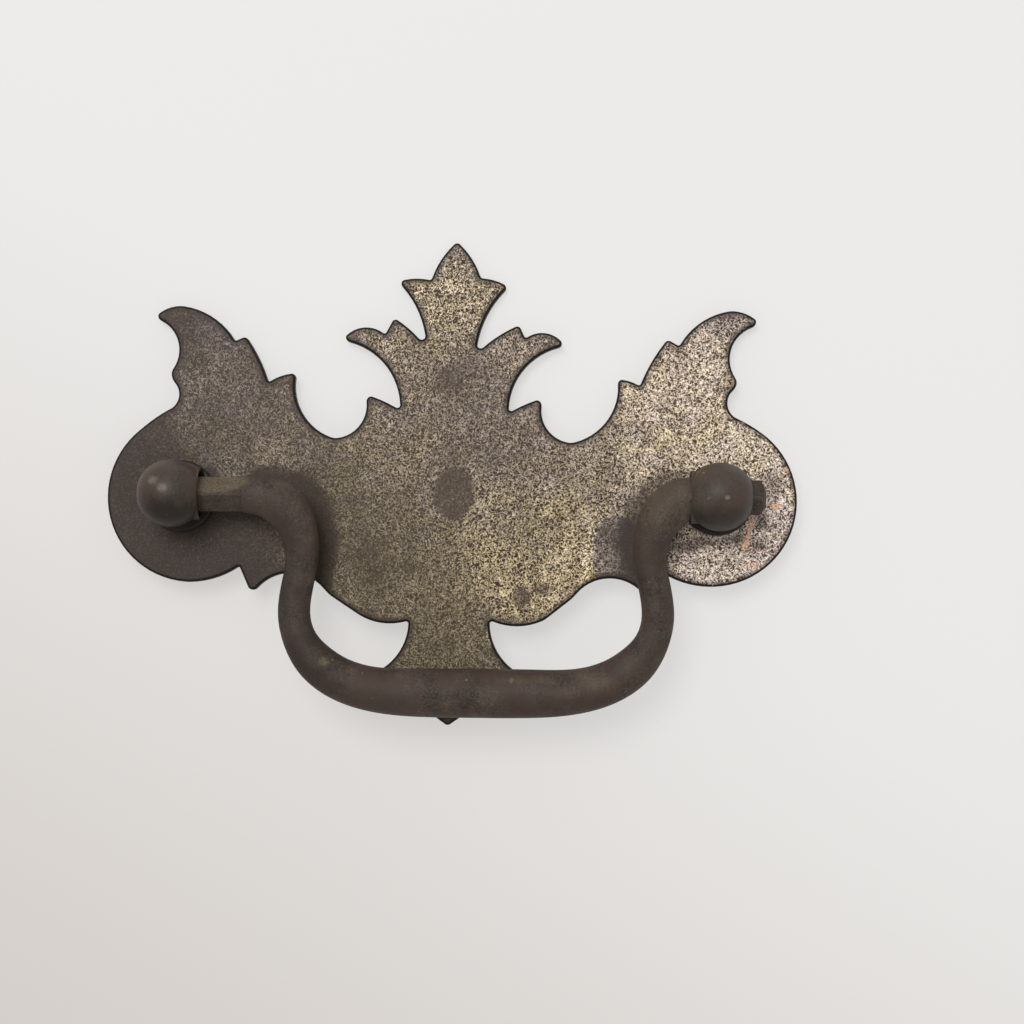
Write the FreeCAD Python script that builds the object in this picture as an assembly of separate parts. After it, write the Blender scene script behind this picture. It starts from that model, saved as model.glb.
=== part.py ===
import FreeCAD, Part
import math
import os
from FreeCAD import Rotation, Vector

# A drawer pull with a swinging bail, in millimetres.
# It stands upright as it hangs on a drawer: +X to the right, +Z up, the front looks along -Y.
# The origin lies midway between the two post holes, on the back of the plate.

# Driving dimensions of the fixing
post_spacing = 63.5
post_hole_clearance = 0.1

# Driving dimensions of the backplate
plate_thickness = 1.2
plate_edge_round = 0.35
outline_shift_x = 0.35
outline_shift_z = -0.1
outline_turn = 0.43

# Driving dimensions of a post
flange_radius = 4.25
flange_thickness = 1.1
flange_edge_round = 0.35
neck_radius = 2.9
ball_radius = 3.95
ball_height = 6.5
boss_radius = 3.05
boss_reach = 3.36
bore_radius = 2.75
bore_height = 5.3
bore_lead_in = 0.2
spigot_radius = 2.6
spigot_length = 2.5
thread_radius = 1.73
thread_roof = 0.4
thread_lead_in = 0.3
drill_point_angle = 118.0

# Driving dimensions of the bail
pin_side = 2.9
pin_corner_radius = 2.0
pin_end_reach = 33.5
pin_dome_radius = 3.2
bail_shift = 3.6
bail_seat_gap = 0.2

# Half of the bail's centre line, from the middle of the bar to the shoulder that the pin leaves:
# reach sideways from the bail's middle, drop below the pin's axis, and radius of the round section.
BAIL_STATIONS = [
    ("bar_middle", 0.0, 23.0, 2.85),
    ("bar_side", 6.4, 22.98, 2.82),
    ("bar_taper", 11.8, 22.65, 2.62),
    ("corner_start", 16.0, 21.35, 2.48),
    ("corner_middle", 18.85, 19.25, 2.3),
    ("corner_end", 20.45, 16.9, 1.99),
    ("arm_widest", 21.15, 13.8, 1.88),
    ("arm_middle", 20.68, 10.2, 1.86),
    ("arm_top", 20.2, 6.6, 1.96),
    ("elbow_start", 20.75, 3.8, 2.3),
    ("elbow_turn", 21.75, 1.9, 2.58),
    ("elbow_swell", 23.15, 0.72, 2.6),
    ("elbow_end", 24.45, 0.18, 2.45),
    ("shoulder_start", 25.6, 0.02, 2.33),
    ("shoulder_end", 27.0, 0.0, 2.1),
]

# Half of the plate's outline, from the top of the finial down the right-hand side to the foot.
# Each corner has its place beside and above the posts' line, the radius that rounds it (a tip that
# points outward gets the radius of the eased edge on top), how far the edge to the next corner bows
# out as a share of its length, and how far the hand saw wandered: the right-hand corner is moved by
# that much, and the left-hand one the other way. The whole outline was then cut a little out of true
# to the post holes: shifted by outline_shift_x and outline_shift_z, and turned clockwise by outline_turn.
OUTLINE = [
    ("finial_tip", 0.0, 30.7, 0.2, 0.07, 0.2, 0.0),
    ("finial_notch", 2.95, 26.2, 0.2, 0.07, 0.15, 0.15),
    ("finial_leaf_tip", 6.6, 25.6, 0.15, -0.095, -0.2, -0.25),
    ("stem_notch", 2.95, 17.6, 0.45, 0.05, -0.3, -0.35),
    ("inner_leaf_tip", 7.45, 21.15, 0.15, 0.0, 0.3, -0.35),
    ("leaf_notch", 8.35, 19.35, 0.25, 0.23, 0.15, -0.15),
    ("outer_leaf_tip", 13.25, 18.55, 0.2, -0.19, -0.05, -0.2),
    ("waist_notch", 6.45, 10.4, 0.35, 0.035, 0.2, -0.1),
    ("shoulder_tooth_tip", 10.65, 12.25, 0.15, -0.255, 0.15, -0.1),
    ("hollow_bottom", 14.1, 6.95, 3.0, -0.2, 0.05, -0.1),
    ("wing_tooth_tip", 19.1, 14.6, 0.15, 0.075, 0.4, -0.15),
    ("wing_tooth_notch", 22.1, 13.65, 0.25, 0.04, 0.05, 0.05),
    ("wing_leaf_tip", 25.1, 19.2, 0.2, 0.0, 0.25, 0.1),
    ("wing_leaf_notch", 26.45, 18.5, 0.25, 0.12, 0.3, 0.0),
    ("wing_top", 32.7, 22.7, 4.0, 0.113, 0.1, 0.05),
    ("wing_tip", 36.15, 21.15, 0.2, -0.33, 0.2, 0.0),
    ("side_tooth_tip", 34.4, 13.95, 0.2, -0.345, -0.15, -0.1),
    ("side_notch_end", 33.5, 10.25, 2.0, 0.03, -0.05, -0.15),
    ("lobe_start", 37.05, 7.95, 2.0, 0.35, -0.05, 0.05),
    ("lobe_bottom", 31.1, -10.1, 4.0, 0.076, -0.05, 0.2),
    ("lobe_notch", 25.05, -8.3, 0.25, 0.0, 0.0, 0.0),
    ("lower_tooth_tip", 23.5, -11.75, 0.2, -0.28, 0.0, 0.0),
    ("body_turn", 14.6, -11.4, 3.0, 0.0, 0.1, 0.0),
    ("body_corner", 11.15, -13.9, 4.0, 0.117, 0.2, -0.2),
    ("foot_notch", 4.8, -14.35, 0.3, -0.165, 0.0, 0.1),
    ("foot_side_tip", 9.4, -20.95, 0.2, -0.02, 0.0, 0.0),
    ("foot_tip", 0.0, -26.8, 0.2, -0.02, 0.05, 0.0),
]

# Sizes that follow from the driving dimensions
post_x = post_spacing / 2
spigot_hole_radius = spigot_radius + post_hole_clearance
pin_axis_height = plate_thickness + bore_height
drill_point_height = thread_radius / math.tan(math.radians(drill_point_angle / 2))
thread_depth = (spigot_length + plate_thickness + bore_height - bore_radius
                - thread_roof - drill_point_height)
bar_radius = BAIL_STATIONS[0][3]
bar_drop = BAIL_STATIONS[0][2]
pin_root_reach = next(reach for name, reach, _, _ in BAIL_STATIONS if name == "elbow_end")
bail_lean = math.degrees(math.asin((bore_height - bar_radius - bail_seat_gap) / bar_drop))
shortest_round = 0.3


def corner_list():
    """All the corners of the outline, clockwise as seen from the front, as (x, z, radius, bow)."""
    right = [(x + dx, z + dz, r, bow) for _, x, z, r, bow, dx, dz in OUTLINE]
    left = []
    for (_, x, z, r, _, dx, dz), (_, _, _, _, bow, _, _) in zip(OUTLINE[-2:0:-1], OUTLINE[-3::-1]):
        left.append((dx - x, z - dz, r, bow))
    # The edge that goes up from the foot's tip bows as much as the one that comes down to it.
    foot_bow = OUTLINE[-2][4]
    right[-1] = right[-1][:3] + (foot_bow,)
    turn = Rotation(Vector(0, 1, 0), outline_turn)
    corners = []
    for x, z, radius, bow in right + left:
        place = turn.multVec(Vector(x, 0, z)) + Vector(outline_shift_x, 0, outline_shift_z)
        corners.append((place.x, place.z, radius, bow))
    return corners


def bowed_edge(start, end, bow):
    """A straight line, or an arc that bows to the left of its way by a share of its length."""
    if bow == 0:
        return Part.LineSegment(start, end).toShape()
    way = end - start
    outward = Vector(-way.z, 0, way.x)
    return Part.Arc(start, (start + end) / 2 + outward * bow, end).toShape()


def crossing(a, along_a, b, along_b):
    """The point where two lines in the plate's plane cross."""
    spread = along_a.x * along_b.z - along_a.z * along_b.x
    reach = ((b.x - a.x) * along_b.z - (b.z - a.z) * along_b.x) / spread
    return a + along_a * reach


def rounded_outline(corners):
    """The closed outline, with every corner rounded by a curve that meets both its edges smoothly."""
    points = [Vector(x, 0, z) for x, z, _, _ in corners]
    count = len(points)
    edges = [bowed_edge(points[i], points[(i + 1) % count], corners[i][3]) for i in range(count)]
    trims = []
    for i in range(count):
        into = edges[i - 1].tangentAt(edges[i - 1].LastParameter)
        out = edges[i].tangentAt(edges[i].FirstParameter)
        points_out = into.x * out.z - into.z * out.x < 0
        radius = corners[i][2] + (plate_edge_round if points_out else 0)
        trims.append(max(radius * math.tan(into.getAngle(out) / 2), shortest_round))
    outline = []
    for i in range(count):
        before, edge = edges[i - 1], edges[i]
        enter = before.getParameterByLength(before.Length - trims[i])
        leave = edge.getParameterByLength(trims[i])
        a, along_a = before.valueAt(enter), before.tangentAt(enter)
        b, along_b = edge.valueAt(leave), edge.tangentAt(leave)
        round_off = Part.BezierCurve()
        round_off.setPoles([a, crossing(a, along_a, b, along_b), b])
        round_off.setWeight(2, math.cos(along_a.getAngle(along_b) / 2))
        outline.append(round_off.toShape())
        finish = edge.getParameterByLength(edge.Length - trims[(i + 1) % count])
        outline.append(edge.Curve.toShape(leave, finish))
    return Part.Wire(outline)


def make_backplate():
    """The cut plate: its outline, the eased front edge and a hole for each post's spigot."""
    wire = rounded_outline(corner_list())
    plate = Part.Face(wire).extrude(Vector(0, -plate_thickness, 0))
    front = [e for e in plate.Edges if e.BoundBox.YMax < -plate_thickness / 2]
    plate = plate.makeFillet(plate_edge_round, front)
    for side in (-1, 1):
        hole = Part.makeCylinder(spigot_hole_radius, 2 * plate_thickness,
                                 Vector(side * post_x, plate_thickness / 2, 0), Vector(0, -1, 0))
        plate = plate.cut(hole)
    return plate


def make_post(side):
    """One post: side is -1 for the left-hand one and 1 for the right-hand one."""
    front, back = Vector(0, -1, 0), Vector(0, 1, 0)
    seat = Vector(0, -plate_thickness, 0)
    flange = Part.makeCylinder(flange_radius, flange_thickness, seat, front)
    rim = [e for e in flange.Edges if e.BoundBox.YMax < -plate_thickness - flange_thickness / 2]
    flange = flange.makeFillet(flange_edge_round, rim)
    neck = Part.makeCylinder(neck_radius, ball_height, seat, front)
    ball = Part.makeSphere(ball_radius, seat + front * ball_height)
    beyond_flat = Part.makeBox(ball_radius, 2 * ball_radius, 2 * ball_radius,
                               Vector(boss_reach, -plate_thickness - ball_height - ball_radius, -ball_radius))
    if side > 0:
        beyond_flat = beyond_flat.mirror(Vector(0, 0, 0), Vector(1, 0, 0))
    ball = ball.cut(beyond_flat)
    spigot = Part.makeCylinder(spigot_radius, plate_thickness + spigot_length, seat, back)
    inward = Vector(-side, 0, 0)
    bore_centre = seat + front * bore_height
    boss = Part.makeCylinder(boss_radius, boss_reach, bore_centre, inward)
    post = flange.multiFuse([neck, ball, spigot, boss])
    bore = Part.makeCylinder(bore_radius, 4 * ball_radius, bore_centre - inward * 2 * ball_radius, inward)
    mouth = Part.makeCone(bore_radius, bore_radius + bore_lead_in, bore_lead_in,
                          bore_centre + inward * (boss_reach - bore_lead_in), inward)
    spigot_end = Vector(0, spigot_length, 0)
    thread = Part.makeCylinder(thread_radius, thread_depth, spigot_end, front)
    drill_point = Part.makeCone(thread_radius, 0, drill_point_height,
                                spigot_end + front * thread_depth, front)
    lead_in = Part.makeCone(thread_radius + thread_lead_in, thread_radius, thread_lead_in, spigot_end, front)
    post = post.cut(bore.fuse(mouth)).cut(thread.multiFuse([drill_point, lead_in]))
    post.translate(Vector(side * post_x, 0, 0))
    return post.removeSplitter()


def bail_stations():
    """The whole centre line of the bail with its radii, from the left-hand shoulder to the right."""
    half = [(Vector(reach, 0, -drop), radius) for _, reach, drop, radius in BAIL_STATIONS]
    mirrored = [(Vector(-point.x, 0, point.z), radius) for point, radius in half[:0:-1]]
    return mirrored + half


def bail_body(stations):
    """The round tapering bar, arms and elbows, lofted through a circle at each station."""
    line = Part.BSplineCurve()
    line.interpolate([point for point, _ in stations])
    sections = []
    for point, radius in stations:
        along = Vector(*line.tangent(line.parameter(point))[0])
        turn = Rotation(Vector(0, 1, 0), Vector(0, 0, 0), along, "ZXY")
        circle = Part.Circle(Vector(0, 0, 0), Vector(0, 0, 1), radius).toShape()
        circle.Placement = FreeCAD.Placement(point, turn)
        sections.append(Part.Wire(circle))
    return Part.makeLoft(sections, True, False)


def make_pin(side):
    """One square pin, turned on its corner, with worn edges and a domed end."""
    length = pin_end_reach - pin_root_reach
    square = Part.makeBox(length, pin_side, pin_side, Vector(pin_root_reach, -pin_side / 2, -pin_side / 2))
    square.rotate(Vector(0, 0, 0), Vector(1, 0, 0), 45)
    worn = Part.makeCylinder(pin_corner_radius, length, Vector(pin_root_reach, 0, 0), Vector(1, 0, 0))
    dome = Part.makeSphere(pin_dome_radius, Vector(pin_end_reach - pin_dome_radius, 0, 0))
    shank = Part.makeCylinder(pin_dome_radius, length - pin_dome_radius,
                              Vector(pin_root_reach, 0, 0), Vector(1, 0, 0))
    pin = square.common(worn).common(dome.fuse(shank))
    if side < 0:
        pin = pin.mirror(Vector(0, 0, 0), Vector(1, 0, 0))
    return pin


def make_bail():
    """The cast handle, leaning back until its bar nearly rests on the foot of the plate."""
    bail = bail_body(bail_stations())
    bail = bail.multiFuse([make_pin(-1), make_pin(1)])
    bail.rotate(Vector(0, 0, 0), Vector(1, 0, 0), bail_lean)
    bail.translate(Vector(bail_shift, -pin_axis_height, 0))
    return bail


def export(shape, node):
    """Write one piece to its own file, and say what it is."""
    solid = shape.Solids[0] if len(shape.Solids) == 1 else shape
    solid.exportStep("parts/" + node + ".step")
    box = solid.BoundBox
    print(node, solid.ShapeType, "valid" if solid.isValid() else "NOT VALID", "solids", len(solid.Solids),
          "volume", round(solid.Volume, 1), "x", round(box.XMin, 2), round(box.XMax, 2),
          "y", round(box.YMin, 2), round(box.YMax, 2), "z", round(box.ZMin, 2), round(box.ZMax, 2))


def main():
    """Make and write the four pieces."""
    os.makedirs("parts", exist_ok=True)
    export(make_backplate(), "backplate")
    export(make_post(-1), "left_post")
    export(make_post(1), "right_post")
    export(make_bail(), "bail")
    print("bail leans back by", round(bail_lean, 2), "degrees at rest")
    print("tapped holes are", round(thread_depth, 3), "deep")


main()
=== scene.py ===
"""The looks of a small bail pull: its worn cut backplate, its bail and its two posts, lying on a pale table."""

import logging
import math
from dataclasses import dataclass, field
from enum import Enum

import bpy
from mathutils import Matrix, Vector, kdtree


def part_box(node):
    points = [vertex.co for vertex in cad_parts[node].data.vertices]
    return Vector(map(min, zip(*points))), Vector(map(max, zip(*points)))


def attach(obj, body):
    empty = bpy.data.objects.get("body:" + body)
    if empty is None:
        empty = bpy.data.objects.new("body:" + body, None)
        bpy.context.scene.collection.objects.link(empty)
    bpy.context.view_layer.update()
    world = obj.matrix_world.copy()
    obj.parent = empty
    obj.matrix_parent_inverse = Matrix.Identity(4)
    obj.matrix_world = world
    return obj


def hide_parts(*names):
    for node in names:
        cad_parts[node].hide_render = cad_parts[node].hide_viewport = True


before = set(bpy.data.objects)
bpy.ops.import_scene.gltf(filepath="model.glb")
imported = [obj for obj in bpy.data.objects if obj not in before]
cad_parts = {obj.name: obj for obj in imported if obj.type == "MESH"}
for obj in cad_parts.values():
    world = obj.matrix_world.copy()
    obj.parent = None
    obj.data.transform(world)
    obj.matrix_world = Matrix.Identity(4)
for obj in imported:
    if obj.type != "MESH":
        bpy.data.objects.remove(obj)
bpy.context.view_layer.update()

MM = 0.001
IMAGE_SIDE = 1024
# Farther away than anything on the pull reaches.
FAR_MM = 1000.0
# The middle of a noise's values, and how far a noise moves the edge of an oval, in shares of the oval's blur.
NOISE_MIDDLE = 0.5
FRAY = 2.4

log = logging.getLogger("bail_pull")


class Body(Enum):
    """The two bodies of the pull, by their names in the frame."""

    MOUNTING = "mounting"
    HANDLE = "handle"


class Slot(Enum):
    """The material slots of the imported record."""

    PLATE = "plate_brass"
    BAIL = "bail_brass"
    POST = "post_brass"


class Tone(Enum):
    """The two tones of the speckle, by their names in a shade."""

    GROUND = "ground"
    FLECK = "fleck"


def linear(code: str) -> tuple[float, float, float, float]:
    """Turns an sRGB colour into the linear one that a shader takes, by the numbers of the sRGB standard.

    Args:
        code: The colour as six hex digits, with or without a leading #.

    Returns:
        Red, green, blue and an alpha of 1, all linear.
    """
    digits = code.lstrip("#")
    shares = [int(digits[i:i + 2], 16) / 255 for i in (0, 2, 4)]
    light = [s / 12.92 if s <= 0.04045 else ((s + 0.055) / 1.055) ** 2.4 for s in shares]
    return (light[0], light[1], light[2], 1.0)


def add_node(tree: bpy.types.NodeTree, kind: str, inputs: dict | None = None, **settings) -> bpy.types.Node:
    """Adds one node to a shader.

    Args:
        tree: The node tree.
        kind: The node's type name.
        inputs: A socket to link, or a value to set, for each input by its name or number.
        **settings: The node's own properties.

    Returns:
        The new node.
    """
    node = tree.nodes.new(kind)
    for name, value in settings.items():
        setattr(node, name, value)
    for name, value in (inputs or {}).items():
        if isinstance(value, bpy.types.NodeSocket):
            tree.links.new(value, node.inputs[name])
        else:
            node.inputs[name].default_value = value
    return node


def set_stops(ramp: bpy.types.ColorRamp, stops: list[tuple[float, str]]) -> None:
    """Gives a colour ramp its stops.

    Args:
        ramp: The ramp.
        stops: Place and hex colour of each stop, in order.
    """
    while len(ramp.elements) < len(stops):
        ramp.elements.new(1.0)
    for element, (place, code) in zip(ramp.elements, stops):
        element.position = place
        element.color = linear(code)


def new_material(name: str) -> tuple[bpy.types.Material, bpy.types.NodeTree, bpy.types.Node]:
    """Makes a material with an empty tree and its output.

    Args:
        name: The material's name.

    Returns:
        The material, its node tree and its output node.
    """
    material = bpy.data.materials.new(name)
    material.use_nodes = True
    material.node_tree.nodes.clear()
    output = add_node(material.node_tree, "ShaderNodeOutputMaterial")
    return material, material.node_tree, output


def millimetres(tree: bpy.types.NodeTree) -> bpy.types.NodeSocket:
    """Gives the object's own coordinates in millimetres.

    Args:
        tree: The node tree.

    Returns:
        The vector socket.
    """
    place = add_node(tree, "ShaderNodeTexCoord")
    scaled = add_node(tree, "ShaderNodeVectorMath", {0: place.outputs["Object"], "Scale": 1 / MM},
                      operation="SCALE")
    return scaled.outputs[0]


@dataclass(frozen=True)
class Noise:
    """A noise, by the size of its largest form in mm, its number of finer layers and how far it is warped."""

    size_mm: float
    detail: float
    warp: float = 0.0


@dataclass(frozen=True)
class Patch:
    """A soft-edged oval on a surface, in mm as seen from the front: where the finish differs."""

    x: float
    z: float
    reach_x: float
    reach_z: float
    turn_deg: float = 0.0
    blur: float = 0.35
    depth: float = 1.0


def patches(tree: bpy.types.NodeTree, place: bpy.types.NodeSocket, ragged: bpy.types.NodeSocket,
            ovals: tuple[Patch, ...]) -> bpy.types.NodeSocket:
    """Draws ovals with ragged edges, which run right through the piece.

    Args:
        tree: The node tree.
        place: The coordinates in mm.
        ragged: The noise that frays the edges.
        ovals: The ovals.

    Returns:
        A value from 0, outside them all, to each one's depth inside it.
    """
    fray = add_node(tree, "ShaderNodeMath", {0: ragged, 1: NOISE_MIDDLE}, operation="SUBTRACT")
    total = None
    for oval in ovals:
        own = add_node(tree, "ShaderNodeMapping",
                       {"Vector": place, "Location": (oval.x, 0, oval.z),
                        "Rotation": (0, math.radians(oval.turn_deg), 0),
                        "Scale": (oval.reach_x, FAR_MM, oval.reach_z)}, vector_type="TEXTURE")
        away = add_node(tree, "ShaderNodeVectorMath", {0: own.outputs[0]}, operation="LENGTH")
        frayed = add_node(tree, "ShaderNodeMath",
                          {0: fray.outputs[0], 1: FRAY * oval.blur, 2: away.outputs["Value"]},
                          operation="MULTIPLY_ADD")
        inside = add_node(tree, "ShaderNodeMapRange",
                          {"Value": frayed.outputs[0], "From Min": 1 + oval.blur, "From Max": 1 - oval.blur,
                           "To Max": oval.depth}, interpolation_type="SMOOTHSTEP")
        if total is None:
            total = inside.outputs[0]
        else:
            total = add_node(tree, "ShaderNodeMath", {0: total, 1: inside.outputs[0]},
                             operation="MAXIMUM").outputs[0]
    return total


@dataclass(frozen=True)
class Shade:
    """The two tones of the speckle at one level of wear, between its grains and on them, in sRGB hex."""

    level: float
    ground: str
    fleck: str


@dataclass(frozen=True)
class WornBrassPlate:
    """Rolled sheet brass under a dark brown patina, rubbed through to a fine brassy speckle.

    The eye sees a dull dark sheet that turns, where hands and the bail rubbed it, to a dry mottle of pale flecks
    on a brown ground. The flecks are gold in the middle and rosy towards the right. The sawn edge is nearly black,
    partly dark patina and partly painted shade of its side wall, and painted shade darkens the ground beside the
    bail's arms and under the right post's ball.
    """

    # The worn grains of rolled brass are under 0.1 mm across, too fine to show, so they are drawn twice as coarse.
    grain: Noise = Noise(0.18, 1.0, 1.2)
    # The grains lie in clumps of about 1 mm. The patina itself is cloudy, and its hue drifts, over 2 to 4 mm.
    clump: Noise = Noise(0.9, 2.0, 0.3)
    cloud: Noise = Noise(3.6, 3.0)
    tint: Noise = Noise(2.2, 2.0)
    fray: Noise = Noise(1.0, 3.0)
    noise_roughness: float = 0.6
    # The flecks are short squiggles about 0.3 mm wide, with cracks of patina between them.
    squiggle_mm: float = 0.32
    crack_mm: float = 0.26
    ridge_warp: float = 0.6
    # What lifts or lowers the level of wear, and by how much. The stains, the shelters and the lee lower it, in
    # part as painted shade.
    cloud_floor: float = 0.5
    rim_mm: tuple[float, float] = (0.15, 0.75)
    rim_level: float = 0.55
    rub_lift: float = 0.7
    stain_and_shade_drop: float = 0.15
    shelter_and_shade_drop: float = 0.27
    lee_and_shade_drop: float = 0.3
    # What makes a fleck, and the pattern's values between which it grows from nothing to whole.
    crack_share: float = -0.5
    grain_share: float = 1.0
    clump_share: float = 0.15
    level_share: float = 0.17
    stain_and_shade_share: float = -0.2
    fleck_window: tuple[float, float] = (0.72, 1.5)
    fleck_power: float = 1.3
    tint_share: float = 1.6
    # The front ends a little before the back, in mm of depth.
    back_mm: tuple[float, float] = (-0.2, -0.1)
    # How far in from the sawn edge its near-black reaches, partly dark patina and partly painted shade of the side
    # wall.
    edge_shade_mm: float = 0.12
    scratch_floor: float = 0.55
    scratch_share: float = 0.8
    # The stains' colour also paints shade under the right post's ball.
    stain_and_shade_colour: str = "#4C3F36"
    verdigris_colour: str = "#403F3A"
    # The near-black of the sawn edge: partly dark patina, partly painted shade of its side wall.
    edge_shade_colour: str = "#1A1715"
    copper_colour: str = "#F2BC94"
    # The patina is a dull oxide and no metal. The flecks are brass, still dulled by a thin tarnish.
    metallic_worn: float = 0.35
    roughness_patina: float = 0.55
    roughness_worn: float = 0.45
    specular: float = 0.2
    relief_mm: float = 0.03
    relief_strength: float = 0.2
    rosy: tuple[Shade, ...] = (
        Shade(0.0, "#3B322E", "#463E3A"),
        Shade(0.15, "#40362F", "#5A504A"),
        Shade(0.3, "#473B37", "#8C8079"),
        Shade(0.6, "#3A2E28", "#CFBFB2"),
        Shade(0.8, "#514239", "#F2DED0"),
        Shade(1.0, "#483A32", "#FCEADF"),
    )
    golden: tuple[Shade, ...] = (
        Shade(0.0, "#352A20", "#463D2F"),
        Shade(0.15, "#3A2F22", "#5A503E"),
        Shade(0.3, "#433829", "#8F836A"),
        Shade(0.6, "#352717", "#D2BF98"),
        Shade(0.8, "#45351F", "#F4DFB4"),
        Shade(1.0, "#483821", "#FCEBC0"),
    )
    # Brown stains: a large one in the middle, small ones below and above it, and dark patches around the right
    # post, partly painted shade under its ball.
    stains_and_shade: tuple[Patch, ...] = (
        Patch(0.7, 0.5, 2.35, 3.05, 8, 0.16, 0.62),
        Patch(0.1, 14.0, 1.6, 1.8, 0, 0.5, 0.35),
        Patch(8.87, -11.74, 1.05, 1.35, 0, 0.25, 0.6),
        Patch(11.1, -10.66, 1.2, 0.7, 0, 0.4, 0.45),
        Patch(-8.9, -7.4, 2.4, 3.6, 20, 0.6, 0.2),
        Patch(14.0, 11.8, 1.0, 1.0, 0, 0.5, 0.3),
        Patch(4.3, 21.7, 1.0, 1.2, 0, 0.6, 0.15),
        Patch(28.8, -5.4, 2.7, 0.8, -8, 0.5, 0.5),
        Patch(37.0, -2.8, 0.7, 0.8, 0, 0.6, 0.5),
        Patch(34.1, -4.7, 1.1, 0.6, 0, 0.6, 0.5),
        Patch(36.8, -5.3, 0.9, 0.5, 20, 0.6, 0.45),
        Patch(38.3, 2.0, 0.9, 1.2, 0, 0.8, 0.4),
    )
    # Where the bail's right arm and the end of its pin kept the rubbing off; beside the arm the darkening is
    # partly painted shade.
    shelters_and_shade: tuple[Patch, ...] = (
        Patch(20.1, -6.2, 3.1, 4.2, 0, 0.1, 0.85),
        Patch(37.4, -1.7, 2.8, 3.8, 0, 0.5, 0.5),
    )
    # Bright rubs: at the foot, across the finial, beside the right arm and at the right post.
    rubs: tuple[Patch, ...] = (
        Patch(5.07, -15.9, 0.4, 1.5, 0, 0.4, 0.5),
        Patch(0.6, 25.1, 4.6, 0.35, 0, 0.6, 0.18),
        Patch(-3.8, 24.2, 0.8, 0.8, 0, 0.5, 0.25),
        Patch(16.6, -6.6, 0.7, 4.2, 8, 0.4, 0.3),
        Patch(22.4, 6.66, 0.45, 0.22, -45, 0.3, 0.4),
        Patch(22.3, 5.5, 0.55, 0.2, 5, 0.3, 0.4),
        Patch(23.6, 6.8, 0.25, 0.6, 25, 0.3, 0.4),
        Patch(37.5, -8.4, 2.6, 1.4, 35, 0.5, 0.2),
    )
    # Dull grey-green along the inner edge of the left wing.
    verdigris: tuple[Patch, ...] = (
        Patch(-18.0, 12.2, 0.6, 2.7, 0, 0.7, 0.55),
        Patch(-16.2, 8.2, 0.45, 1.8, -35, 0.7, 0.45),
    )
    # Copper-red scratches that the loose pin's end left below the right post.
    copper_scratches: tuple[Patch, ...] = (
        Patch(35.7, -3.1, 0.24, 1.2, 14, 0.8, 1.0),
        Patch(35.2, -5.0, 0.3, 0.8, 4, 0.9, 1.0),
        Patch(38.6, -0.7, 0.5, 0.3, 10, 0.9, 1.0),
        Patch(39.8, 3.6, 0.35, 0.2, 10, 0.6, 0.5),
        Patch(35.9, -7.6, 0.9, 0.5, 0, 0.7, 0.3),
    )

    def front_place(self, tree: bpy.types.NodeTree, place: bpy.types.NodeSocket) -> bpy.types.NodeSocket:
        """Moves the plate's back far aside, so that the marks of the front don't show there too.

        Args:
            tree: The node tree.
            place: The coordinates in mm.

        Returns:
            The coordinates for the marks.
        """
        parts = add_node(tree, "ShaderNodeSeparateXYZ", {0: place})
        behind = add_node(tree, "ShaderNodeMapRange",
                          {"Value": parts.outputs["Y"], "From Min": self.back_mm[0], "From Max": self.back_mm[1],
                           "To Max": FAR_MM})
        aside = add_node(tree, "ShaderNodeCombineXYZ", {"X": behind.outputs[0]})
        return add_node(tree, "ShaderNodeVectorMath", {0: place, 1: aside.outputs[0]},
                        operation="ADD").outputs[0]

    def wear_level(self, tree: bpy.types.NodeTree, reads: dict[str, bpy.types.NodeSocket],
                   cloud: bpy.types.NodeSocket, marks: dict[str, bpy.types.NodeSocket]) -> bpy.types.NodeSocket:
        """Gives how far the patina is rubbed through.

        It is the broad wear, broken up by soft clouds, less the darker places: a band along the sawn edge that
        kept its patina, and the stains, the shelters and the lee of the bail's arms, which are in part painted
        shade.

        Args:
            tree: The node tree.
            reads: The plate's attributes by their names.
            cloud: The cloud noise.
            marks: The marks by their names.

        Returns:
            The level, from 0 to 1.
        """
        drift = add_node(tree, "ShaderNodeMath", {0: cloud, 1: self.cloud_floor}, operation="ADD")
        drifted = add_node(tree, "ShaderNodeMath", {0: reads["wear"], 1: drift.outputs[0]}, operation="MULTIPLY")
        band = add_node(tree, "ShaderNodeMapRange",
                        {"Value": reads["rim"], "From Min": self.rim_mm[0], "From Max": self.rim_mm[1],
                         "To Min": self.rim_level, "To Max": 1.0}, interpolation_type="SMOOTHSTEP")
        level = add_node(tree, "ShaderNodeMath", {0: drifted.outputs[0], 1: band.outputs[0]},
                         operation="MULTIPLY").outputs[0]
        for cause, share in ((marks["rubs"], self.rub_lift), (marks["stains_and_shade"], -self.stain_and_shade_drop),
                             (marks["shelters_and_shade"], -self.shelter_and_shade_drop), (reads["lee_and_shade"], -self.lee_and_shade_drop)):
            level = add_node(tree, "ShaderNodeMath", {0: cause, 1: share, 2: level},
                             operation="MULTIPLY_ADD").outputs[0]
        return add_node(tree, "ShaderNodeMath", {0: level, 1: 0.0}, operation="ADD", use_clamp=True).outputs[0]

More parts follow.
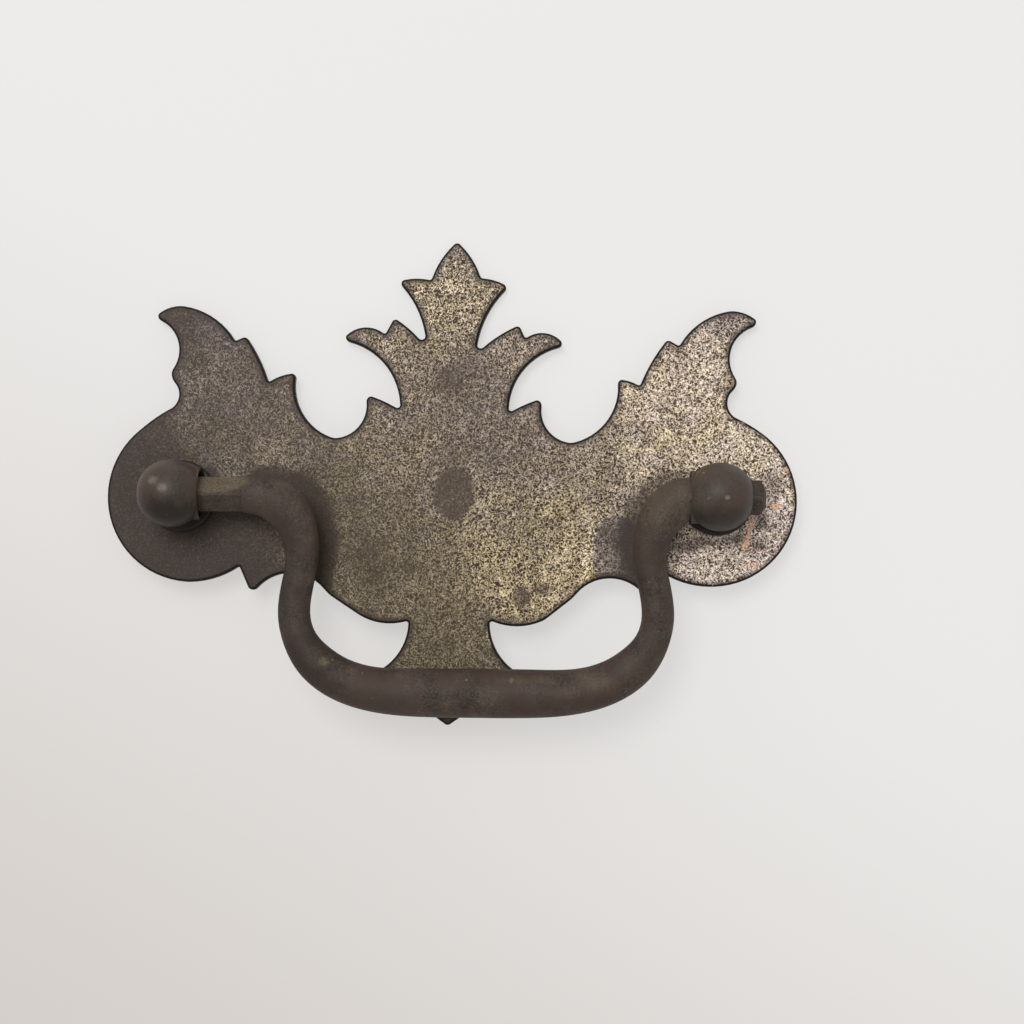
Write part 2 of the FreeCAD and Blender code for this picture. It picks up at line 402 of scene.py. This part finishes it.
    def pattern(self, tree: bpy.types.NodeTree, place: bpy.types.NodeSocket,
                causes: tuple[tuple[bpy.types.NodeSocket, float], ...]) -> bpy.types.NodeSocket:
        """Draws the speckle as the ridges of one noise, less those of another, and broken up by what else acts.

        Args:
            tree: The node tree.
            place: The coordinates in mm.
            causes: What else acts, and its share.

        Returns:
            The height of the pattern.
        """
        ridges = []
        for size in (self.squiggle_mm, self.crack_mm):
            ridge = add_node(tree, "ShaderNodeTexNoise",
                             {"Vector": place, "Scale": 1 / size, "Detail": 0.0, "Offset": 1.0, "Gain": 1.0,
                              "Distortion": self.ridge_warp}, noise_type="RIDGED_MULTIFRACTAL")
            ridges.append(ridge.outputs[0])
        height = ridges[0]
        for cause, share in ((ridges[1], self.crack_share), *causes):
            height = add_node(tree, "ShaderNodeMath", {0: cause, 1: share, 2: height},
                              operation="MULTIPLY_ADD").outputs[0]
        return height

    def gild(self, tree: bpy.types.NodeTree, broad: bpy.types.NodeSocket, tint: bpy.types.NodeSocket,
             sheltered_and_shaded: bpy.types.NodeSocket) -> bpy.types.NodeSocket:
        """Gives how golden the brass is, which drifts over a few millimetres and is least in the shelters.

        Args:
            tree: The node tree.
            broad: The plate's own attribute for it.
            tint: The noise by which it drifts.
            sheltered_and_shaded: Where the rubbing was kept off, and where painted shade lies beside the bail's
                right arm.

        Returns:
            A value from 0, rosy, to 1, golden.
        """
        drift = add_node(tree, "ShaderNodeMath",
                         {0: tint, 1: self.tint_share, 2: -self.tint_share * NOISE_MIDDLE},
                         operation="MULTIPLY_ADD")
        tinted = add_node(tree, "ShaderNodeMath", {0: broad, 1: drift.outputs[0]}, operation="ADD",
                          use_clamp=True)
        open_air = add_node(tree, "ShaderNodeMath", {0: 1.0, 1: sheltered_and_shaded}, operation="SUBTRACT")
        return add_node(tree, "ShaderNodeMath", {0: tinted.outputs[0], 1: open_air.outputs[0]},
                        operation="MULTIPLY").outputs[0]

    def shades(self, tree: bpy.types.NodeTree, level: bpy.types.NodeSocket, tone: Tone,
               gild: bpy.types.NodeSocket) -> bpy.types.NodeSocket:
        """Gives one tone of the speckle, from rosy to golden and by the level of wear.

        Args:
            tree: The node tree.
            level: The level of wear.
            tone: Which tone of each shade.
            gild: How golden the brass is here, from 0 to 1.

        Returns:
            The colour socket.
        """
        ramps = []
        for family in (self.rosy, self.golden):
            ramp = add_node(tree, "ShaderNodeValToRGB", {"Fac": level})
            set_stops(ramp.color_ramp, [(shade.level, getattr(shade, tone.value)) for shade in family])
            ramps.append(ramp.outputs[0])
        return add_node(tree, "ShaderNodeMix", {0: gild, 6: ramps[0], 7: ramps[1]}, data_type="RGBA").outputs[2]

    def material(self) -> bpy.types.Material:
        """Makes the material.

        Returns:
            The material, which reads the plate's wear, gild, lee and rim attributes.
        """
        material, tree, output = new_material("worn_brass_plate")
        place = millimetres(tree)
        noises = {}
        for name in ("grain", "clump", "cloud", "tint", "fray"):
            own = getattr(self, name)
            noise = add_node(tree, "ShaderNodeTexNoise",
                             {"Vector": place, "Scale": 1 / own.size_mm, "Detail": own.detail,
                              "Roughness": self.noise_roughness, "Distortion": own.warp})
            noises[name] = noise.outputs[0]
        reads = {}
        for name in ("wear", "gild", "lee_and_shade", "rim"):
            reads[name] = add_node(tree, "ShaderNodeAttribute", attribute_name=name).outputs["Fac"]
        front = self.front_place(tree, place)
        marks = {}
        for name, ragged in (("stains_and_shade", "fray"), ("shelters_and_shade", "fray"), ("rubs", "fray"), ("verdigris", "fray"),
                             ("copper_scratches", "grain")):
            marks[name] = patches(tree, front, noises[ragged], getattr(self, name))
        level = self.wear_level(tree, reads, noises["cloud"], marks)
        height = self.pattern(tree, place, ((noises["grain"], self.grain_share),
                                            (noises["clump"], self.clump_share), (level, self.level_share),
                                            (marks["stains_and_shade"], self.stain_and_shade_share)))
        bitten = add_node(tree, "ShaderNodeMapRange", {"Value": height, "From Min": self.fleck_window[0],
                                                       "From Max": self.fleck_window[1]})
        fleck = add_node(tree, "ShaderNodeMath", {0: bitten.outputs[0], 1: self.fleck_power},
                         operation="POWER").outputs[0]
        gild = self.gild(tree, reads["gild"], noises["tint"], marks["shelters_and_shade"])
        ground = self.shades(tree, level, Tone.GROUND, gild)
        bright = self.shades(tree, level, Tone.FLECK, gild)
        colour = add_node(tree, "ShaderNodeMix", {0: fleck, 6: ground, 7: bright}, data_type="RGBA").outputs[2]
        # The near-black of the sawn edge is partly dark patina and partly painted shade of its side wall.
        edge = add_node(tree, "ShaderNodeMapRange", {"Value": reads["rim"], "From Min": 0.0,
                                                     "From Max": self.edge_shade_mm, "To Min": 1.0, "To Max": 0.0})
        strokes = add_node(tree, "ShaderNodeMath", {0: fleck, 1: self.scratch_share, 2: self.scratch_floor},
                           operation="MULTIPLY_ADD", use_clamp=True)
        scratched = add_node(tree, "ShaderNodeMath", {0: marks["copper_scratches"], 1: strokes.outputs[0]},
                             operation="MULTIPLY")
        # The stains here include painted shade under the right post's ball.
        for cover, code in ((marks["stains_and_shade"], self.stain_and_shade_colour), (marks["verdigris"], self.verdigris_colour),
                            (edge.outputs[0], self.edge_shade_colour), (scratched.outputs[0], self.copper_colour)):
            colour = add_node(tree, "ShaderNodeMix", {0: cover, 6: colour, 7: linear(code)},
                              data_type="RGBA").outputs[2]
        rough = add_node(tree, "ShaderNodeMapRange", {"Value": fleck, "To Min": self.roughness_patina,
                                                      "To Max": self.roughness_worn})
        metal = add_node(tree, "ShaderNodeMapRange", {"Value": fleck, "To Min": 0.0,
                                                      "To Max": self.metallic_worn})
        bump = add_node(tree, "ShaderNodeBump", {"Height": height, "Strength": self.relief_strength,
                                                 "Distance": self.relief_mm * MM})
        shader = add_node(tree, "ShaderNodeBsdfPrincipled",
                          {"Base Color": colour, "Roughness": rough.outputs[0], "Metallic": metal.outputs[0],
                           "Specular IOR Level": self.specular, "Normal": bump.outputs[0]})
        tree.links.new(shader.outputs[0], output.inputs[0])
        return material


@dataclass(frozen=True)
class SatinPatina:
    """Cast brass under a chocolate-brown patina, smoothed to a satin by handling.

    The eye sees an even, warm near-black brown with broad soft highlights, redder and greyer islands, and here and
    there a pit, a nick or a rubbed place where a little brass comes through. On the posts the left ball carries
    painted highlights, and painted shade lies below the balls and at their feet.
    """

    name: str
    dark: str
    light: str
    tinge: str
    brassy_and_highlight: str
    roughness: float
    specular: float
    worn_and_highlit: tuple[Patch, ...]
    darker_and_shaded: tuple[Patch, ...]
    darker_and_shade_colour: str = "#1E1A18"
    # How much painted shade darkens the foot, the flange and neck next to the plate, and between which depths in
    # mm it grows to that.
    foot_shade: float = 0.0
    foot_shade_mm: tuple[float, float] = (-8.0, -4.0)
    # The pebbling of sand-cast brass is near 0.1 mm, too fine to show, so it is drawn more than twice as coarse.
    grain: Noise = Noise(0.25, 2.0)
    cloud: Noise = Noise(3.0, 4.0)
    nick: Noise = Noise(0.5, 1.0)
    fray: Noise = Noise(1.2, 3.0)
    island: Noise = Noise(4.5, 2.0)
    noise_roughness: float = 0.6
    grain_share: float = 0.9
    tone_window: tuple[float, float] = (0.7, 1.2)
    island_window: tuple[float, float] = (0.42, 0.62)
    island_depth: float = 0.8
    # A few tiny pits and nicks catch the light: only the highest peaks of a fine noise.
    nick_window: tuple[float, float] = (0.74, 0.82)
    nick_depth: float = 0.6
    relief_mm: float = 0.05
    relief_strength: float = 0.4

    def darkening_and_shade(self, tree: bpy.types.NodeTree, place: bpy.types.NodeSocket,
             ragged: bpy.types.NodeSocket) -> bpy.types.NodeSocket:
        """Gives where the piece is darker: in its listed dark patches, which on the posts are painted shade, and
        towards its foot, in painted shade.

        Args:
            tree: The node tree.
            place: The coordinates in mm.
            ragged: The noise that frays the edges.

        Returns:
            A value from 0 to 1.
        """
        dark_places = patches(tree, place, ragged, self.darker_and_shaded)
        parts = add_node(tree, "ShaderNodeSeparateXYZ", {0: place})
        foot = add_node(tree, "ShaderNodeMapRange",
                        {"Value": parts.outputs["Y"], "From Min": self.foot_shade_mm[0], "From Max": self.foot_shade_mm[1],
                         "To Max": self.foot_shade})
        return add_node(tree, "ShaderNodeMath", {0: dark_places, 1: foot.outputs[0]},
                        operation="MAXIMUM").outputs[0]

    def material(self) -> bpy.types.Material:
        """Makes the material.

        Returns:
            The material.
        """
        material, tree, output = new_material(self.name)
        place = millimetres(tree)
        noises = {}
        for name in ("grain", "cloud", "nick", "fray", "island"):
            own = getattr(self, name)
            noise = add_node(tree, "ShaderNodeTexNoise",
                             {"Vector": place, "Scale": 1 / own.size_mm, "Detail": own.detail,
                              "Roughness": self.noise_roughness, "Distortion": own.warp})
            noises[name] = noise.outputs[0]
        mixed = add_node(tree, "ShaderNodeMath", {0: noises["grain"], 1: self.grain_share, 2: noises["cloud"]},
                         operation="MULTIPLY_ADD")
        tone = add_node(tree, "ShaderNodeMapRange", {"Value": mixed.outputs[0], "From Min": self.tone_window[0],
                                                     "From Max": self.tone_window[1]})
        island = add_node(tree, "ShaderNodeMapRange",
                          {"Value": noises["island"], "From Min": self.island_window[0],
                           "From Max": self.island_window[1], "To Max": self.island_depth},
                          interpolation_type="SMOOTHSTEP")
        darkening_and_shade = self.darkening_and_shade(tree, place, noises["fray"])
        rubbed_and_highlit = patches(tree, place, noises["fray"], self.worn_and_highlit)
        nick = add_node(tree, "ShaderNodeMapRange", {"Value": noises["nick"], "From Min": self.nick_window[0],
                                                     "From Max": self.nick_window[1], "To Max": self.nick_depth})
        speckle = add_node(tree, "ShaderNodeMath", {0: noises["grain"], 1: rubbed_and_highlit}, operation="MULTIPLY")
        bare_and_highlit = add_node(tree, "ShaderNodeMath", {0: speckle.outputs[0], 1: nick.outputs[0]}, operation="MAXIMUM")
        colour = add_node(tree, "ShaderNodeMix", {0: tone.outputs[0], 6: linear(self.dark),
                                                  7: linear(self.light)}, data_type="RGBA").outputs[2]
        for cover, code in ((island.outputs[0], self.tinge), (darkening_and_shade, self.darker_and_shade_colour),
                            (bare_and_highlit.outputs[0], self.brassy_and_highlight)):
            colour = add_node(tree, "ShaderNodeMix", {0: cover, 6: colour, 7: linear(code)},
                              data_type="RGBA").outputs[2]
        bump = add_node(tree, "ShaderNodeBump", {"Height": mixed.outputs[0], "Strength": self.relief_strength,
                                                 "Distance": self.relief_mm * MM})
        shader = add_node(tree, "ShaderNodeBsdfPrincipled",
                          {"Base Color": colour, "Roughness": self.roughness,
                           "Specular IOR Level": self.specular, "Normal": bump.outputs[0]})
        tree.links.new(shader.outputs[0], output.inputs[0])
        return material


@dataclass(frozen=True)
class WearSpot:
    """One place on the plate where the wear was judged: its place and reach in mm, wear and gild from 0 to 1."""

    x: float
    z: float
    reach: float
    wear: float
    gild: float


@dataclass
class Backplate:
    """The cut brass plate, with its attributes of wear on a finely divided copy of the frame's plate."""

    node: str = "backplate"
    cell_mm: float = 0.6
    merge_mm: float = 0.001
    flat_deg: float = 0.1
    smooth_deg: float = 30.0
    # From the dark left lobe, by the left wing, the finial and the middle, to the bright right wing and lobe.
    spots: tuple[WearSpot, ...] = (
        WearSpot(-38.0, -0.8, 5.0, 0.02, 0.2),
        WearSpot(-30.5, -7.7, 5.0, 0.0, 0.2),
        WearSpot(-32.5, 20.8, 3.0, 0.1, 0.1),
        WearSpot(-29.0, 17.8, 4.0, 0.28, 0.25),
        WearSpot(-26.5, 9.8, 4.0, 0.24, 0.3),
        WearSpot(-23.5, 5.3, 4.0, 0.34, 0.5),
        WearSpot(-9.0, 18.3, 4.0, 0.5, 0.4),
        WearSpot(1.0, 27.8, 3.0, 0.5, 0.3),
        WearSpot(1.0, 24.3, 3.0, 0.76, 0.9),
        WearSpot(-1.5, 20.3, 3.0, 0.54, 0.9),
        WearSpot(1.0, 11.8, 5.0, 0.34, 0.3),
        WearSpot(10.0, 18.0, 4.0, 0.58, 0.4),
        WearSpot(-5.5, 4.8, 5.0, 0.42, 0.6),
        WearSpot(9.0, 6.8, 5.0, 0.37, 0.3),
        WearSpot(11.0, -1.2, 5.0, 0.54, 0.8),
        WearSpot(10.0, -8.2, 5.0, 0.66, 1.0),
        WearSpot(16.0, -6.7, 3.0, 0.82, 1.0),
        WearSpot(-9.0, -7.2, 5.0, 0.3, 1.0),
        WearSpot(-12.5, -1.2, 4.0, 0.25, 0.8),
        WearSpot(0.5, -16.2, 4.0, 0.31, 1.0),
        WearSpot(20.0, 4.3, 4.0, 0.68, 0.4),
        WearSpot(26.5, 8.8, 4.0, 0.8, 0.5),
        WearSpot(30.5, 14.8, 4.0, 0.84, 0.3),
        WearSpot(34.5, 21.3, 3.0, 0.5, 0.0),
        WearSpot(36.0, 6.3, 3.0, 1.0, 0.4),
        WearSpot(38.5, -4.2, 3.0, 1.0, 0.0),
        WearSpot(31.5, -7.7, 4.0, 1.0, 0.2),
        WearSpot(22.0, -4.2, 2.5, 0.25, 0.2),
    )
    # A weight so small that it only counts far from every spot, where it keeps the sum above zero.
    least_weight: float = 1e-6
    # The lee of the bail's arms, ground darkened partly as kept patina and partly as painted shade: its shift
    # towards the middle and up, its reach, and where the arms end below.
    lee_shift_mm: tuple[float, float] = (0.8, 0.5)
    lee_reach_mm: float = 0.8
    lee_floor_mm: float = -14.0
    # How near to the back the front's lee still counts, and how far inside both faces the sawn edge begins.
    back_mm: float = -0.1
    face_mm: float = 0.02
    finish: WornBrassPlate = field(default_factory=WornBrassPlate)

    def build(self) -> bpy.types.Object:
        """Makes the divided copy of the plate and measures its attributes.

        Returns:
            The new piece, riding on the mounting.
        """
        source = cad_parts[self.node]
        mesh = source.data.copy()
        plate = bpy.data.objects.new("patinated_plate", mesh)
        bpy.context.scene.collection.objects.link(plate)
        bpy.ops.object.select_all(action="DESELECT")
        plate.select_set(True)
        bpy.context.view_layer.objects.active = plate
        self.divide()
        self.measure(plate)
        plate.data.materials.clear()
        plate.data.materials.append(self.finish.material())
        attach(plate, Body.MOUNTING.value)
        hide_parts(self.node)
        return plate

    def divide(self) -> None:
        """Cuts the active plate's mesh into small cells, so that its points can carry the wear."""
        bpy.ops.object.mode_set(mode="EDIT")
        bpy.ops.mesh.select_all(action="SELECT")
        bpy.ops.mesh.remove_doubles(threshold=self.merge_mm * MM)
        bpy.ops.mesh.dissolve_limited(angle_limit=math.radians(self.flat_deg), delimit=set())
        low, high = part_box(self.node)
        for axis, normal in ((0, (1, 0, 0)), (2, (0, 0, 1))):
            cuts = int((high[axis] - low[axis]) / (self.cell_mm * MM))
            for i in range(1, cuts):
                place = Vector(normal) * (low[axis] + (high[axis] - low[axis]) * i / cuts)
                bpy.ops.mesh.select_all(action="SELECT")
                bpy.ops.mesh.bisect(plane_co=place, plane_no=normal)
        bpy.ops.mesh.select_all(action="SELECT")
        bpy.ops.mesh.quads_convert_to_tris()
        bpy.ops.object.mode_set(mode="OBJECT")
        bpy.ops.object.shade_smooth_by_angle(angle=math.radians(self.smooth_deg))

    def measure(self, plate: bpy.types.Object) -> None:
        """Writes wear, gild, lee and rim on every point of the plate.

        The lee is the ground close to the bail's arms, on the side towards the plate's middle, darkened partly as
        kept patina and partly as painted shade. The rim is the distance in mm from the sawn edge.

        Args:
            plate: The divided plate.
        """
        mesh = plate.data
        low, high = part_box(self.node)
        skin = self.face_mm * MM
        side = [v.co for v in mesh.vertices if low.y + skin < v.co.y < high.y - skin]
        edge = kdtree.KDTree(len(side))
        for i, co in enumerate(side):
            edge.insert((co.x, 0, co.z), i)
        edge.balance()
        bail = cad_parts["bail"]
        arms = [point for point in bail.data.vertices if point.co.z > self.lee_floor_mm * MM]
        cover = kdtree.KDTree(len(arms))
        for i, point in enumerate(arms):
            across = -math.copysign(self.lee_shift_mm[0] * MM, point.co.x)
            cover.insert((point.co.x + across, 0, point.co.z + self.lee_shift_mm[1] * MM), i)
        cover.balance()
        values = {"wear": [], "gild": [], "lee_and_shade": [], "rim": []}
        for vertex in mesh.vertices:
            x, z = vertex.co.x / MM, vertex.co.z / MM
            total = wear = gild = 0.0
            for spot in self.spots:
                away = (x - spot.x) ** 2 + (z - spot.z) ** 2
                weight = math.exp(-away / (2 * spot.reach ** 2)) + self.least_weight
                total += weight
                wear += weight * spot.wear
                gild += weight * spot.gild
            # The lee: ground darkened beside the arms, partly kept patina and partly painted shade.
            near = cover.find((vertex.co.x, 0, vertex.co.z))[2] / MM
            sheltered_and_shaded = math.exp(-(near / self.lee_reach_mm) ** 2)
            values["wear"].append(wear / total)
            values["gild"].append(gild / total)
            values["lee_and_shade"].append(sheltered_and_shaded if vertex.co.y / MM < self.back_mm else 0.0)
            values["rim"].append(edge.find((vertex.co.x, 0, vertex.co.z))[2] / MM)
        for name, numbers in values.items():
            mesh.attributes.new(name, "FLOAT", "POINT").data.foreach_set("value", numbers)


@dataclass
class Casting:
    """One pattern of casting, whose pieces keep the frame's shapes and get their finish here."""

    nodes: tuple[str, ...]
    body: Body
    slot: Slot
    finish: SatinPatina

    def dress(self) -> None:
        """Gives every piece of this pattern its finish."""
        material = self.finish.material()
        for name in self.nodes:
            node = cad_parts[name]
            if not node.material_slots:
                node.data.materials.append(material)
            for slot in node.material_slots:
                slot.material = material
            log.info("%s on the %s, slot %s, is dressed in %s", name, self.body.value, self.slot.value,
                     material.name)


@dataclass
class Bail(Casting):
    """The swinging handle, rubbed along its bar and bright on its left pin."""

    nodes: tuple[str, ...] = ("bail",)
    body: Body = Body.HANDLE
    slot: Slot = Slot.BAIL
    finish: SatinPatina = SatinPatina(
        name="bail_patina", dark="#2F2824", light="#564A41", tinge="#443730", brassy_and_highlight="#857860",
        roughness=0.6, specular=0.22,
        worn_and_highlit=(
            Patch(17.8, -21.5, 2.2, 1.0, 20, 0.9, 0.25),
            Patch(14.1, -22.6, 1.6, 0.5, 0, 0.9, 0.2),
            Patch(9.0, -21.3, 3.4, 0.4, 0, 0.9, 0.2),
            Patch(-13.7, -19.3, 0.5, 0.5, 0, 0.9, 0.7),
            Patch(7.9, -21.3, 0.25, 0.3, 0, 0.5, 0.8),
            Patch(-27.4, 1.5, 4.6, 1.45, 0, 0.15, 0.6),
            Patch(25.0, -0.6, 3.5, 2.6, 0, 0.8, 0.25),
        ),
        # Darker on the left arm and its corner.
        darker_and_shaded=(
            Patch(-17.0, -19.8, 4.5, 4.0, 0, 0.7, 0.5),
            Patch(-18.8, -10.5, 2.4, 6.5, 0, 0.7, 0.4),
        ))


@dataclass
class Posts(Casting):
    """The two ball-headed posts, glossier than the bail, with painted shade below their balls and at their feet,
    and painted highlights on the left ball.
    """

    nodes: tuple[str, ...] = ("left_post", "right_post")
    body: Body = Body.MOUNTING
    slot: Slot = Slot.POST
    finish: SatinPatina = SatinPatina(
        name="post_patina", dark="#362F28", light="#4B443B", tinge="#4A3A33", brassy_and_highlight="#8F847A",
        # The foot shade darkens the flange and neck as painted shade.
        roughness=0.45, specular=0.25, foot_shade=0.75,
        # On the left ball these are painted highlights of the lamp; on the right ball, a bright speck.
        worn_and_highlit=(
            Patch(-33.2, 1.3, 0.45, 0.4, 0, 0.8, 0.7),
            Patch(-32.0, 0.4, 0.4, 0.4, 0, 0.8, 0.6),
            Patch(32.3, -0.3, 0.3, 0.25, 0, 0.6, 0.9),
        ),
        # Painted shade on the lower half of each ball and below it.
        darker_and_shaded=(
            Patch(-32.2, -3.2, 4.4, 2.6, 0, 0.5, 0.8),
            Patch(31.8, -3.4, 4.2, 1.8, 0, 0.6, 0.45),
        ))


@dataclass
class Studio:
    """The painted table top, the light and the camera."""

    eye_mm: tuple[float, float, float] = (16.8, -248.2, -13.1)
    aim_mm: tuple[float, float, float] = (7.6, -1.2, -1.6)
    roll_deg: float = -0.5
    focal_px: float = 2094.0
    sensor_mm: float = 36.0
    clip_mm: tuple[float, float] = (10.0, 10000.0)
    table_gap_mm: float = 2.5
    table_lean_deg: float = 5.3
    table_side_mm: float = 1600.0
    table_far: str = "#EBEAE8"
    table_near: str = "#D5CFCB"
    table_roughness: float = 0.7
    # The way along which the table grows paler, a painted fall of light that is darker towards the lower left, and
    # between which distances along it.
    table_fade_way: tuple[float, float, float] = (0.6, 0.0, 1.0)
    table_fade_mm: tuple[float, float] = (-110.0, 25.0)
    # How much of the table's look is its own paleness, and not the light and the shadows on it.
    table_evenness: float = 0.7
    room_colour: str = "#F4F3F1"
    room_floor: float = 0.5
    room_ceiling: float = 0.8
    key_place_mm: tuple[float, float, float] = (-130.0, -760.0, 230.0)
    key_side_mm: float = 380.0
    key_watts: float = 3.2

    def camera(self) -> bpy.types.Object:
        """Sets the camera where the photograph was taken from.

        Returns:
            The camera.
        """
        data = bpy.data.cameras.new("camera")
        data.sensor_width = self.sensor_mm
        data.lens = self.focal_px / IMAGE_SIDE * self.sensor_mm
        data.clip_start = self.clip_mm[0] * MM
        data.clip_end = self.clip_mm[1] * MM
        camera = bpy.data.objects.new("camera", data)
        bpy.context.scene.collection.objects.link(camera)
        eye = Vector(self.eye_mm) * MM
        look = (Vector(self.aim_mm) * MM - eye).normalized()
        right = look.cross(Vector((0, 0, 1))).normalized()
        turn = Matrix.Rotation(math.radians(self.roll_deg), 3, look)
        right = turn @ right
        up = right.cross(look)
        camera.matrix_world = Matrix.Translation(eye) @ Matrix((right, up, -look)).transposed().to_4x4()
        bpy.context.scene.camera = camera
        return camera

    def table_paint(self) -> bpy.types.Material:
        """Makes the matt pale paint, which only its front shows.

        The eye sees the paint's paleness under a painted fall of light, darker towards the lower left, with the
        shadows of the pull laid softly over it.

        Returns:
            The material.
        """
        material, tree, output = new_material("painted_table")
        # Painted fall of light: the paint mixes darker towards the lower left.
        along = add_node(tree, "ShaderNodeVectorMath", {0: millimetres(tree), 1: self.table_fade_way},
                         operation="DOT_PRODUCT")
        fall = add_node(tree, "ShaderNodeMapRange",
                        {"Value": along.outputs["Value"], "From Min": self.table_fade_mm[0],
                         "From Max": self.table_fade_mm[1]}, interpolation_type="SMOOTHSTEP")
        paint_with_light_fall = add_node(tree, "ShaderNodeMix", {0: fall.outputs[0], 6: linear(self.table_near),
                                                 7: linear(self.table_far)}, data_type="RGBA")
        shader = add_node(tree, "ShaderNodeBsdfPrincipled", {"Base Color": paint_with_light_fall.outputs[2],
                                                             "Roughness": self.table_roughness})
        pale = add_node(tree, "ShaderNodeEmission", {"Color": paint_with_light_fall.outputs[2]})
        ray = add_node(tree, "ShaderNodeLightPath")
        seen = ray.outputs["Is Camera Ray"]
        for kind in ("Is Glossy Ray", "Is Transmission Ray"):
            seen = add_node(tree, "ShaderNodeMath", {0: seen, 1: ray.outputs[kind]}, operation="ADD",
                            use_clamp=True).outputs[0]
        share = add_node(tree, "ShaderNodeMath", {0: seen, 1: self.table_evenness}, operation="MULTIPLY")
        soft = add_node(tree, "ShaderNodeMixShader", {0: share.outputs[0], 1: shader.outputs[0],
                                                      2: pale.outputs[0]})
        clear = add_node(tree, "ShaderNodeBsdfTransparent")
        side = add_node(tree, "ShaderNodeNewGeometry")
        mix = add_node(tree, "ShaderNodeMixShader", {0: side.outputs["Backfacing"], 1: soft.outputs[0],
                                                     2: clear.outputs[0]})
        tree.links.new(mix.outputs[0], output.inputs[0])
        return material

    def table(self) -> bpy.types.Object:
        """Lays the pale table top behind the pull.

        Returns:
            The table top.
        """
        bpy.ops.object.select_all(action="DESELECT")
        bpy.ops.mesh.primitive_plane_add(size=self.table_side_mm * MM)
        table = bpy.context.active_object
        table.name = "table_top"
        lean = Matrix.Rotation(math.radians(90 + self.table_lean_deg), 4, "X")
        table.data.transform(Matrix.Translation((0, self.table_gap_mm * MM, 0)) @ lean)
        table.data.materials.append(self.table_paint())
        return table

    def lamp(self) -> None:
        """Hangs a soft lamp before the pull, a little above and to the left."""
        lamp = bpy.data.lights.new("key", "AREA")
        lamp.shape = "DISK"
        lamp.size = self.key_side_mm * MM
        lamp.energy = self.key_watts
        key = bpy.data.objects.new("key", lamp)
        bpy.context.scene.collection.objects.link(key)
        key.location = Vector(self.key_place_mm) * MM
        key.rotation_euler = (-key.location).to_track_quat("-Z", "Y").to_euler()

    def room(self) -> None:
        """Lights everything from a room that is paler above than below."""
        world = bpy.data.worlds.new("room")
        bpy.context.scene.world = world
        world.use_nodes = True
        tree = world.node_tree
        tree.nodes.clear()
        output = add_node(tree, "ShaderNodeOutputWorld")
        way = add_node(tree, "ShaderNodeTexCoord")
        parts = add_node(tree, "ShaderNodeSeparateXYZ", {0: way.outputs["Generated"]})
        level = add_node(tree, "ShaderNodeMapRange",
                         {"Value": parts.outputs["Z"], "From Min": -1.0, "To Min": self.room_floor,
                          "To Max": self.room_ceiling})
        room = add_node(tree, "ShaderNodeBackground", {"Color": linear(self.room_colour),
                                                       "Strength": level.outputs[0]})
        tree.links.new(room.outputs[0], output.inputs[0])


def main() -> None:
    """Sets the stage, and builds and dresses every piece."""
    logging.basicConfig(level=logging.INFO, format="%(name)s: %(message)s")
    bpy.context.scene.view_settings.view_transform = "Standard"
    studio = Studio()
    studio.camera()
    studio.table()
    studio.lamp()
    studio.room()
    plate = Backplate().build()
    log.info("%s has %d faces", plate.name, len(plate.data.polygons))
    for casting in (Bail(), Posts()):
        casting.dress()


if __name__ == "__main__":
    main()
